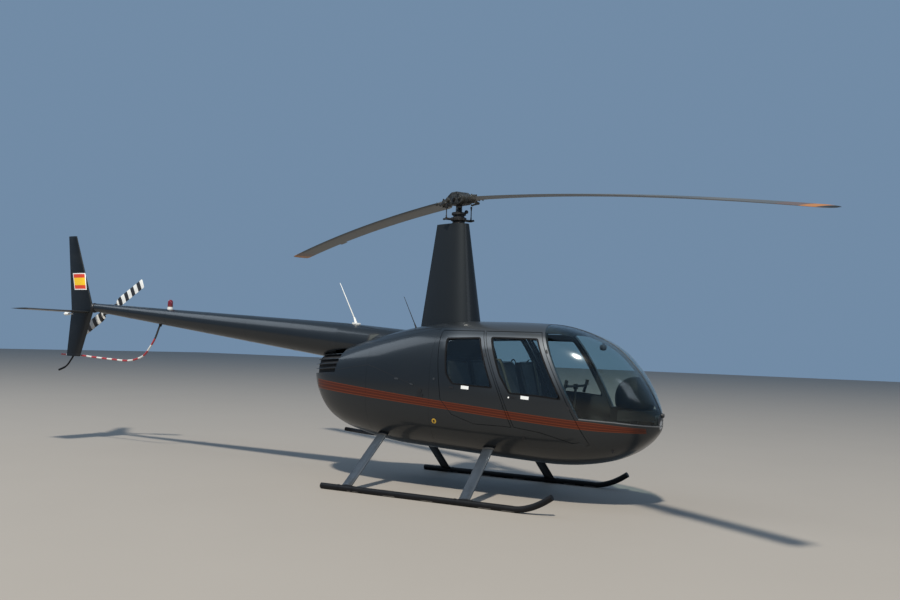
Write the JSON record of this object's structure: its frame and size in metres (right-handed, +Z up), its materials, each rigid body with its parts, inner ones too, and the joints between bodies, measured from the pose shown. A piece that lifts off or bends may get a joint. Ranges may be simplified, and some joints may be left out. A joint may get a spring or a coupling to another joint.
{
  "type": "light four-seat helicopter",
  "caption": "Parked light helicopter with a teetering main rotor, tail rotor, opening cabin doors, hollow cabin with seats, tail boom with fins, and skid landing gear.",
  "frame": {"origin": "on the ground, under the middle of the aircraft's box with the rotor as parked", "axes": "+X towards the nose, +Y towards the aircraft's left side, +Z up"},
  "size_m": [10.9448, 5.3424, 3.3015],
  "materials": {
    "body_paint": "gloss",
    "window_glass": "gloss",
    "cabin_lining": "matte",
    "seat_leather": "satin",
    "black_plastic": "matte",
    "black_metal": "satin",
    "engine_metal": "satin",
    "bare_steel": "satin",
    "blade_paint": "satin",
    "tail_blade_paint": "satin",
    "guard_paint": "satin",
    "red_lens": "gloss",
    "white_plastic": "satin",
    "skid_paint": "satin",
    "leg_paint": "gloss"
  },
  "bodies": {
    "airframe": {"cabin_tub": "body_paint", "cabin_frame": "body_paint", "nose_panel": "body_paint", "landing_lens": "window_glass", "landing_lamp": "bare_steel", "pitot_tube": "black_metal", "windshield_right": "window_glass", "windshield_left": "window_glass", "rear_bulkhead": "cabin_lining", "cabin_floor": "cabin_lining", "seat_front_right": "seat_leather", "seat_front_left": "seat_leather", "seats_rear": "seat_leather", "instrument_console": "black_plastic", "cyclic_stick": "black_metal", "top_cowl": "body_paint", "side_cowl_right": "body_paint", "side_cowl_left": "body_paint", "belly_panel": "body_paint", "aft_cowl": "body_paint", "engine_block": "engine_metal", "exhaust_pipe": "bare_steel", "mast_fairing": "body_paint", "swashplate_fixed": "black_metal", "tail_cone": "body_paint", "tail_gearbox": "black_metal", "fin_upper": "body_paint", "fin_lower": "body_paint", "stabiliser": "body_paint", "tail_skid": "black_metal", "tail_lamp": "white_plastic", "rotor_guard": "guard_paint", "beacon": "red_lens", "antenna_rear": "white_plastic", "antenna_front": "black_plastic", "skid_right": "skid_paint", "skid_left": "skid_paint", "leg_front_right": "leg_paint", "leg_front_left": "leg_paint", "leg_rear_right": "leg_paint", "leg_rear_left": "leg_paint"},
    "mast": {"rotor_mast": "bare_steel", "swashplate_turning": "black_metal"},
    "rotor": {"rotor_hub": "black_metal", "rotor_blade_1": "blade_paint", "rotor_blade_2": "blade_paint"},
    "tail_rotor": {"tail_rotor_hub": "bare_steel", "tail_rotor_blade_1": "tail_blade_paint", "tail_rotor_blade_2": "tail_blade_paint"},
    "front_door_right": {"door_front_right": "body_paint", "window_front_right": "window_glass"},
    "front_door_left": {"door_front_left": "body_paint", "window_front_left": "window_glass"},
    "rear_door_right": {"door_rear_right": "body_paint", "window_rear_right": "window_glass"},
    "rear_door_left": {"door_rear_left": "body_paint", "window_rear_left": "window_glass"}
  },
  "joints": [
    {"name": "main_rotor_spin", "type": "hinge", "parent": "airframe", "child": "mast", "pos_m": [1.123, 0, 3], "axis": [0, 0, 1], "continuous": true},
    {"name": "main_rotor_teeter", "type": "hinge", "parent": "mast", "child": "rotor", "pos_m": [1.123, 0, 3.215], "axis": [0.5105, 0.8599, 0], "range_deg": [-8.9, 5.1]},
    {"name": "tail_rotor_spin", "type": "hinge", "parent": "airframe", "child": "tail_rotor", "pos_m": [-4.77, 0.28, 1.935], "axis": [0, 1, 0], "continuous": true},
    {"name": "front_door_right_hinge", "type": "hinge", "parent": "airframe", "child": "front_door_right", "pos_m": [2.597, -0.655, 1.3], "axis": [-0.4617, 0, 0.887], "range_deg": [0, 85]},
    {"name": "front_door_left_hinge", "type": "hinge", "parent": "airframe", "child": "front_door_left", "pos_m": [2.597, 0.655, 1.3], "axis": [0.4617, 0, -0.887], "range_deg": [0, 85]},
    {"name": "rear_door_right_hinge", "type": "hinge", "parent": "airframe", "child": "rear_door_right", "pos_m": [1.913, -0.655, 1.3], "axis": [-0.4067, 0, 0.9135], "range_deg": [0, 85]},
    {"name": "rear_door_left_hinge", "type": "hinge", "parent": "airframe", "child": "rear_door_left", "pos_m": [1.913, 0.655, 1.3], "axis": [0.4067, 0, -0.9135], "range_deg": [0, 85]}
  ],
  "couplings": [
    {"joint": "tail_rotor_spin", "follows": "main_rotor_spin", "ratio": -5.95}
  ]
}
